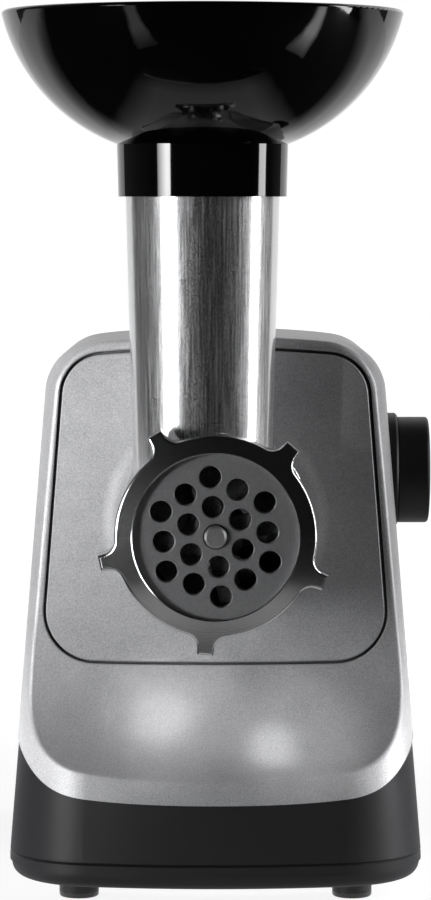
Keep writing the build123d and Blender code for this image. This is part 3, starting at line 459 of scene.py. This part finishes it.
# %% Plain mouldings
def moulding(name, dark, light, roughness, cells):
    """A plain moulded finish whose colour and roughness, each from one value to another, follow one grain."""
    smooth, rough = roughness
    finish = Finish(name, rough)
    speckle = finish.noise(cells, detail=3.0)
    finish.feed("Base Color", speckle.between(dark, light))
    finish.feed("Roughness", smooth + speckle * (rough - smooth))
    finishes[name] = finish
    print("made", name)


moulding("black_rubber", (0.008, 0.008, 0.009), (0.018, 0.018, 0.019), roughness=(0.2, 0.36), cells=300)
moulding("case_plastic", (0.085, 0.085, 0.095), (0.115, 0.115, 0.125), roughness=(0.42, 0.58), cells=500)
moulding("gear_nylon", (0.74, 0.72, 0.66), (0.83, 0.81, 0.75), roughness=(0.34, 0.46), cells=200)
moulding("carbon", (0.02, 0.02, 0.02), (0.045, 0.045, 0.045), roughness=(0.5, 0.62), cells=2000)

# %% [markdown]
# The head is cast aluminium, tumbled until it shines. The feed tube shows fine upright streaks, so one noise is
# stretched along Z. The skin is smooth, which leaves crisp strips of light on the tube, but about a quarter of it
# is taken up by small dull pits, and these spread a faint glow into the dark between the strips.

# %% Cast aluminium
alu = Finish("cast_aluminium", roughness=0.16, metallic=1.0)
streak = alu.noise(cells=1400, detail=3.0, stretch=(1, 1, 0.02))
pit = alu.noise(cells=7000, detail=1.0)
skin = (streak * 0.6 + pit * 0.4).spread(0.3, 0.7)
alu.feed("Base Color", skin.between((0.56, 0.56, 0.57), (0.70, 0.70, 0.71)))
alu.feed("Roughness", 0.14 + (pit * 0.8 + streak * 0.2).spread(0.49, 0.60) * 0.4)
alu.bump(pit, depth=0.000002)
finishes["cast_aluminium"] = alu
print("made", alu.material.name)

# %% [markdown]
# The ring nut is the same metal with its face turned on a lathe. Turning leaves rings round the barrel's axis, so
# the noise is laid out by the distance from that axis, and the gloss is even, without the pits of the tube.

# %% Turned aluminium
BARREL_AXIS = (0, 0, AXIS_Z)
ACROSS_BARREL = (1, 0, 1)

satin = Finish("turned_aluminium", roughness=0.3, metallic=1.0)
tool_marks = satin.rings(cells=2600, centre=BARREL_AXIS, across=ACROSS_BARREL)
sand = satin.noise(cells=2200)
mixed = (tool_marks * 0.6 + sand * 0.4).spread(0.3, 0.7)
satin.feed("Base Color", mixed.between((0.48, 0.48, 0.49), (0.62, 0.62, 0.63)))
satin.feed("Roughness", 0.15 + sand * 0.10)
satin.bump(tool_marks, depth=0.00001)
print("made", satin.material.name)

# %% [markdown]
# The hole plate is hardened steel, ground flat. Grinding leaves fine rings and a slightly darker grey than the
# aluminium. A picture of ground metal could be laid over the plate, but rings of noise stay centred on its pin and
# have no seam.

# %% Ground steel
steel = Finish("cutting_steel", roughness=0.3, metallic=1.0)
ground = steel.rings(cells=3200, centre=BARREL_AXIS, across=ACROSS_BARREL)
spots = steel.noise(cells=900, detail=3.0)
greys = (ground * 0.5 + spots * 0.5).spread(0.3, 0.7)
steel.feed("Base Color", greys.between((0.38, 0.38, 0.39), (0.52, 0.52, 0.53)))
steel.feed("Roughness", 0.42 + spots * 0.12)
steel.bump(ground, depth=0.000006)
finishes["cutting_steel"] = steel
print("made", steel.material.name)

# %% [markdown]
# Inside, shafts and bolts are turned steel, the motor's cores are stacks of thin sheets, the bushes are sintered
# bronze, and the windings are copper. The blade and the auger are steel that has gone dark. These are hardly seen,
# so each is a metal with one noise, and most are stretched across or along the motor's shaft.

# %% Other metals
ROUGHNESS_SWING = 0.12


def metal(name, dark, light, roughness, cells, stretch):
    """A plain metal whose colour and roughness follow one stretched noise."""
    finish = Finish(name, roughness, metallic=1.0)
    marks = finish.noise(cells, stretch=stretch)
    finish.feed("Base Color", marks.spread(0.3, 0.7).between(dark, light))
    finish.feed("Roughness", roughness - ROUGHNESS_SWING / 2 + marks * ROUGHNESS_SWING)
    finishes[name] = finish
    print("made", name)


metal("dark_steel", (0.12, 0.12, 0.125), (0.26, 0.26, 0.265), roughness=0.3, cells=1200, stretch=(1, 0.1, 1))
metal("machine_steel", (0.46, 0.46, 0.47), (0.60, 0.60, 0.61), roughness=0.3, cells=1500, stretch=(0.05, 1, 0.05))
metal("core_steel", (0.22, 0.23, 0.25), (0.42, 0.43, 0.45), roughness=0.4, cells=2400, stretch=(0.01, 1, 0.01))
metal("sintered_bronze", (0.44, 0.29, 0.13), (0.60, 0.42, 0.21), roughness=0.42, cells=1500, stretch=(1, 1, 1))
metal("copper_wire", (0.34, 0.13, 0.06), (0.66, 0.30, 0.15), roughness=0.32, cells=1600, stretch=(1, 0.02, 1))

# %% [markdown]
# The record names a slot for every node, and each slot has its finish, so one loop dresses the whole frame. The
# new pieces are given their finishes one by one. The ring nut has the turned look in place of the cast one, and
# the blade and the auger are a darker steel.

# %% Give every piece its finish
def coat(piece, finish):
    """Give a piece one material in place of any it had."""
    piece.data.materials.clear()
    piece.data.materials.append(finish.material)


for part in frame["record"]["subparts"]:
    coat(nodes[part["node"]], finishes[part["material_slot"]])
coat(nodes["ring_nut"], satin)
coat(nodes["cutting_blade"], finishes["dark_steel"])
coat(nodes["auger"], finishes["dark_steel"])
for piece in feet:
    coat(piece, finishes["black_rubber"])
for piece in screws:
    coat(piece, finishes["machine_steel"])
coat(thread, finishes["cast_aluminium"])
coat(pointer, finishes["gear_nylon"])

# %% [markdown]
# The photo has a plain white ground. A white floor would light the object from below, so this one is grey, which
# is enough to take the object's soft shadow. What it lacks to white is added as light of its own, only for rays
# from the camera, from mirrors and from glass.

# %% White floor
FLOOR_SIZE = 12
FLOOR_GLOW = 0.86
FLOOR_FADE = (0.3, 1.5)

scene = bpy.context.scene
scene.view_settings.view_transform = "Standard"


def seen_directly(tree):
    """1 for rays from the camera or a shiny or clear surface, else 0."""
    camera_ray, glossy_ray, clear_ray = (
        Field(tree).node("LightPath", {}, {}, out=name)
        for name in ("Is Camera Ray", "Is Glossy Ray", "Is Transmission Ray")
    )
    return camera_ray + glossy_ray + clear_ray


bpy.ops.mesh.primitive_plane_add(size=FLOOR_SIZE, location=(0, 0, 0))
floor = bpy.context.active_object
floor.name = "floor"
floor_paint = Finish("floor_paint", roughness=0.9)
floor_paint.feed("Base Color", floor_paint.noise(cells=40).between((0.24, 0.24, 0.24), (0.26, 0.26, 0.26)))
floor_paint.shader.inputs["Emission Strength"].default_value = 1
distance = floor_paint.place.node("VectorMath", {"operation": "LENGTH"}, {0: floor_paint.place}, out=1)
glow = FLOOR_GLOW + distance.spread(*FLOOR_FADE) * (1 - FLOOR_GLOW)
floor_paint.feed("Emission Color", seen_directly(floor_paint.tree) * glow)
coat(floor, floor_paint)
print("floor", FLOOR_SIZE, "m wide")

# %% [markdown]
# The world behind the floor is white for the same rays. For all others it is dim, because a bright world would
# light the object from every side and wash out the lamps.

# %% White world
SKY_GLOW = 0.03

world = bpy.data.worlds.new("studio")
scene.world = world
world.use_nodes = True
sky = world.node_tree.nodes["Background"]
sky.inputs["Color"].default_value = (1, 1, 1, 1)
sky_glow = SKY_GLOW + seen_directly(world.node_tree) * (1 - SKY_GLOW)
world.node_tree.links.new(sky_glow.output, sky.inputs["Strength"])
print("world dimmed to", SKY_GLOW)

# %% [markdown]
# Shiny metal shows the shape of a lamp, so tall narrow soft boxes make the strips of light on the tube: one on the
# left, a little towards the camera, and one almost square to the right.

# %% Soft boxes
TUBE_SIDE = (-0.08, -0.03, 0.30)
UPPER_BODY = (-0.06, -0.03, 0.24)


def softbox(name, azimuth, distance, height, size, power, spread_deg, aim):
    """A rectangular lamp that faces an aim from an azimuth, 0 at the camera and + to its right."""
    angle = math.radians(azimuth)
    place = Vector((math.sin(angle) * distance, -math.cos(angle) * distance, height))
    bpy.ops.object.light_add(type="AREA", location=place)
    lamp = bpy.context.active_object
    lamp.name = name
    lamp.data.shape = "RECTANGLE"
    lamp.data.size, lamp.data.size_y = size
    lamp.data.energy = power
    lamp.data.spread = math.radians(spread_deg)
    lamp.rotation_euler = (Vector(aim) - place).to_track_quat("-Z", "Y").to_euler()
    lamp.visible_camera = False
    print(name, power, "W at", [round(c, 2) for c in place])
    return lamp


softbox(
    "left_softbox", azimuth=-50, distance=1.0, height=0.30,
    size=(0.32, 0.7), power=0.75, spread_deg=36, aim=TUBE_SIDE,
)
softbox(
    "right_softbox", azimuth=84, distance=1.0, height=0.40,
    size=(0.22, 0.9), power=7.5, spread_deg=180, aim=UPPER_BODY,
)

# %% [markdown]
# More lamps light the paint. They are hidden from mirrors, because each would leave one more strip on the metal.
# Two throw narrow beams at the left edge, so the light falls off towards the lower right. Two stand low at the
# sides and brighten the corners of the band below the scooped front.

# %% Paint lamps
LEFT_EDGE_HIGH = (-0.085, -0.03, 0.21)
LEFT_EDGE_LOW = (-0.085, -0.03, 0.118)
BAND_LEFT = (-0.07, -0.03, 0.03)
BAND_RIGHT = (0.07, -0.03, 0.03)

paint_lamps = [
    softbox(
        "upper_beam", azimuth=-30, distance=1.2, height=0.30,
        size=(0.06, 0.06), power=0.072, spread_deg=12, aim=LEFT_EDGE_HIGH,
    ),
    softbox(
        "lower_beam", azimuth=-30, distance=1.2, height=0.20,
        size=(0.06, 0.06), power=0.034, spread_deg=12, aim=LEFT_EDGE_LOW,
    ),
    softbox(
        "low_left", azimuth=-96, distance=0.8, height=0.06,
        size=(0.20, 0.08), power=0.20, spread_deg=12, aim=BAND_LEFT,
    ),
    softbox(
        "low_right", azimuth=98, distance=0.8, height=0.06,
        size=(0.20, 0.08), power=0.21, spread_deg=12, aim=BAND_RIGHT,
    ),
]
for lamp in paint_lamps:
    lamp.visible_glossy = False
print("paint lamps:", len(paint_lamps))

# %% [markdown]
# Two small spots of light lie on the scooped front in the photo, one on the left and a weaker one lower down on
# the right. Narrow lamps in front give them, with fully blended cones so that the spots have no edge. Each spot
# has a wide glow and a small bright core. The lamps are small too, because a large one would blur such a narrow
# cone.

# %% Accent lamps
ACCENT_LEFT = (-0.25, -1.2, 0.20)
ACCENT_RIGHT = (0.20, -1.0, 0.60)
ACCENT_RADIUS = 0.004


def accent(name, place, aim, cone_deg, power):
    """A narrow soft-edged lamp that throws one spot of light."""
    bpy.ops.object.light_add(type="SPOT", location=place)
    lamp = bpy.context.active_object
    lamp.name = name
    lamp.data.energy = power
    lamp.data.spot_size = math.radians(cone_deg)
    lamp.data.spot_blend = 1
    lamp.data.shadow_soft_size = ACCENT_RADIUS
    lamp.rotation_euler = (Vector(aim) - Vector(place)).to_track_quat("-Z", "Y").to_euler()
    lamp.visible_glossy = False
    print(name, power, "W")


accent("left_glow", ACCENT_LEFT, aim=(-0.0160, -0.0318, 0.0710), cone_deg=3.2, power=38)
accent("left_accent", ACCENT_LEFT, aim=(-0.0199, -0.0318, 0.0695), cone_deg=1.4, power=58)
accent("right_glow", ACCENT_RIGHT, aim=(0.0320, -0.0384, 0.0610), cone_deg=3.4, power=28)
accent("right_accent", ACCENT_RIGHT, aim=(0.0214, -0.0384, 0.0590), cone_deg=1.3, power=52)

# %% [markdown]
# Polished metal shows whatever stands round it. In the photo the middle of the tube and the bowl are almost black,
# which is the dark room in front of the object. A picture of a room could be wrapped round the scene, but flags
# can be moved one by one, as in a studio. The first is a curved wall of cloth, dark in front and open at the back.
# A flag is only seen in reflections, so it takes no light away.

# %% Wall flag
STUDIO_RADIUS = 1.7
STUDIO_HEIGHT = 2.6
OPENING_HALF_DEG = 50
WALL_FADE = (-0.7, 0.2)


def reflections_only(piece, name, finish):
    """Keep a piece of the stage out of the picture except in mirrors."""
    piece.name = name
    piece.visible_camera = False
    piece.visible_diffuse = False
    piece.visible_shadow = False
    piece.visible_transmission = False
    coat(piece, finish)


wall_cloth = Finish("wall_cloth", roughness=0.9)
depth = wall_cloth.axis(1)
wall_cloth.feed("Base Color", depth.spread(*WALL_FADE).between((0.02, 0.02, 0.02), (0.5, 0.5, 0.5)))
bpy.ops.mesh.primitive_cylinder_add(
    vertices=72,
    radius=STUDIO_RADIUS,
    depth=STUDIO_HEIGHT,
    location=(0, 0, STUDIO_HEIGHT / 2),
    end_fill_type="NOTHING",
)
wall = bpy.context.active_object
pick(wall, "FACE", lambda at: at.y > STUDIO_RADIUS * math.cos(math.radians(OPENING_HALF_DEG)))
bpy.ops.mesh.delete(type="FACE")
bpy.ops.object.mode_set(mode="OBJECT")
reflections_only(wall, "flag_wall", wall_cloth)
print("wall flag of", len(wall.data.polygons), "faces")

# %% [markdown]
# A ceiling closes the dark room, and a card lies on the table. The card glows behind the object and in a small
# apron before it, where the photo shows white table in the sides of the bowl and along the lower edge of the nut.

# %% Ceiling and table card
CARD_LEVEL = 0.002
CARD_GLOW = 0.85
CARD_FADE = (0.16, 0.42)
APRON_GLOW = 0.5
APRON_FADE = (-0.24, -0.14)
APRON_HALF_WIDTH = 0.2
APRON_EDGE = 0.08


def dark_cloth(name):
    """Almost black cloth for a flag."""
    cloth = Finish(name, roughness=0.9)
    cloth.feed("Base Color", cloth.noise(cells=30).between((0.015, 0.015, 0.015), (0.025, 0.025, 0.025)))
    return cloth


def flag_disc(name, height, finish):
    """A round flag that lies level at a height."""
    bpy.ops.mesh.primitive_circle_add(
        vertices=72, radius=STUDIO_RADIUS, location=(0, 0, height), fill_type="NGON"
    )
    reflections_only(bpy.context.active_object, name, finish)


room_cloth = dark_cloth("dark_cloth")
flag_disc("flag_ceiling", STUDIO_HEIGHT, room_cloth)

table_cloth = dark_cloth("table_cloth")
aside, depth = table_cloth.axis(0), table_cloth.axis(1)
apron = depth.spread(*APRON_FADE) * (APRON_HALF_WIDTH - abs(aside)).spread(0, APRON_EDGE)
table_cloth.feed("Emission Color", depth.spread(*CARD_FADE) * CARD_GLOW + apron * APRON_GLOW)
table_cloth.shader.inputs["Emission Strength"].default_value = 1
flag_disc("flag_card", CARD_LEVEL, table_cloth)
print("flags set")

# %% [markdown]
# The bowl shows two dim windows near its rim, where its side leans over and looks down to the table. Lamps would
# light the paint too, so bright strips that lie on the table give them, each pointing at the bowl from its own
# side. They are only seen in reflections.

# %% Table strips
SOFT_EDGE = 0.25
STRIP_CENTRE_Y = -0.13
STRIP_LEVEL = 0.004


def bright_card(name, place, turn, width, length, level):
    """A glowing card with soft edges that is only seen in reflections."""
    bpy.ops.mesh.primitive_plane_add(size=1, location=place, rotation=turn)
    card = bpy.context.active_object
    card.scale = (width, length, 1)
    paper = Finish(name + "_paper", roughness=0.9)
    paper.shader.inputs["Emission Strength"].default_value = level
    side_fade, end_fade = ((0.5 - abs(paper.axis(axis))).spread(0, SOFT_EDGE) for axis in (0, 1))
    paper.feed("Emission Color", side_fade * end_fade)
    reflections_only(card, name, paper)


def table_strip(name, azimuth, near, far, width, level):
    """A bright card on the table that points away from the bowl, from one distance to another."""
    angle = math.radians(azimuth)
    reach = (near + far) / 2
    place = (math.sin(angle) * reach, STRIP_CENTRE_Y - math.cos(angle) * reach, STRIP_LEVEL)
    bright_card(name, place, (0, 0, angle), width, far - near, level)


table_strip("left_strip", -45, near=0.30, far=1.00, width=0.10, level=0.8)
table_strip("right_strip", 76, near=0.34, far=1.10, width=0.12, level=3.0)
print("strips set")

# %% [markdown]
# The ring nut is lighter below. A small leaning card in front of it does that, which a lamp could not do without
# lighting the plate. A dark card on its back hides it from the bowl.

# %% Nut card
NUT_CARD_TURN = (math.radians(230), 0, 0)
NUT_CARD_SIZE = (0.26, 0.11)
NUT_CARD_AT = (0, -0.205, 0.062)
NUT_CARD_BACK_AT = (0, -0.207, 0.063)

bright_card("nut_card", NUT_CARD_AT, NUT_CARD_TURN, *NUT_CARD_SIZE, level=0.18)
bpy.ops.mesh.primitive_plane_add(size=1, location=NUT_CARD_BACK_AT, rotation=NUT_CARD_TURN)
bpy.context.active_object.scale = (*NUT_CARD_SIZE, 1)
reflections_only(bpy.context.active_object, "nut_card_back", room_cloth)
print("cards set")

# %% [markdown]
# The camera stands about one and a half metres in front, at the height of the hopper, and looks slightly down. Its
# focal length was measured from the photo as a number of pixels and becomes a lens on a 36 mm sensor. A camera
# could be placed by eye, but near pieces, such as the nut, only come out at their right size from the true
# distance.

# %% Camera
EYE = Vector((0, -1.464, 0.2706))
EYE_LEVEL_PX = 190
IMAGE_HEIGHT_PX = 900
FOCAL_PX = 3774
SENSOR_MM = 36

bpy.ops.object.camera_add(location=EYE)
camera = bpy.context.active_object
tilt = math.atan2(IMAGE_HEIGHT_PX / 2 - EYE_LEVEL_PX, FOCAL_PX)
camera.rotation_euler = (math.pi / 2 - tilt, 0, 0)
camera.data.sensor_width = SENSOR_MM
camera.data.lens = FOCAL_PX / IMAGE_HEIGHT_PX * SENSOR_MM
scene.camera = camera
print("camera tilt", round(math.degrees(tilt), 2), "lens", round(camera.data.lens, 1))
